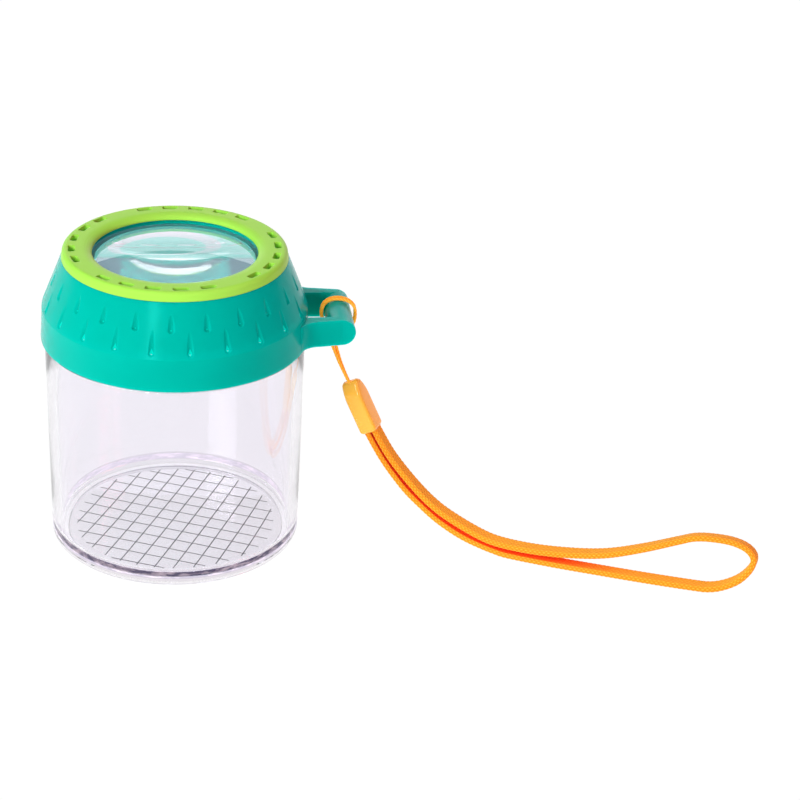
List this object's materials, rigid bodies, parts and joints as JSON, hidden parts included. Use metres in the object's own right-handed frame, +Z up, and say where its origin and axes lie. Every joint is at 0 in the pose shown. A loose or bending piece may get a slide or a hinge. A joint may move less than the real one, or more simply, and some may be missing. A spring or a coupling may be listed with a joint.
{
  "type": "bug catcher jar",
  "caption": "Clear jar with a ruled floor and a screw lid that holds a magnifier under a ring of air slots, with a wrist strap on the lid's lug.",
  "frame": {"origin": "on the jar's axis, at the height of the surface that the foot ring stands on", "axes": "+Z up along the jar's axis; +X along the lug of the closed lid, in the direction that the strap leaves it; +Y to the left of that"},
  "size_m": [0.1982, 0.0871, 0.087],
  "materials": {
    "clear_plastic": "clear, polished",
    "teal_plastic": "gloss",
    "lime_plastic": "satin gloss",
    "clear_lens": "clear, polished",
    "orange_cord": "braided",
    "amber_plastic": "satin",
    "orange_webbing": "knitted"
  },
  "bodies": {
    "jar_body": {"jar": "clear_plastic"},
    "lens_carriage": {"lens": "clear_lens"},
    "lid_body": {"lid": "teal_plastic", "vent_ring": "lime_plastic", "cord_loop": "orange_cord", "cord_bead": "amber_plastic", "wrist_strap": "orange_webbing"}
  },
  "joints": [
    {"name": "lid_rise", "type": "slide", "parent": "jar_body", "child": "lens_carriage", "axis": [0, 0, 1], "range_m": [0, 0.0121]},
    {"name": "lid_turn", "type": "hinge", "parent": "lens_carriage", "child": "lid_body", "pos_m": [0, 0, 0.075], "axis": [0, 0, 1], "range_deg": [0, 540]}
  ],
  "couplings": [
    {"joint": "lid_rise", "follows": "lid_turn", "m_per_rad": 0.0012732}
  ]
}
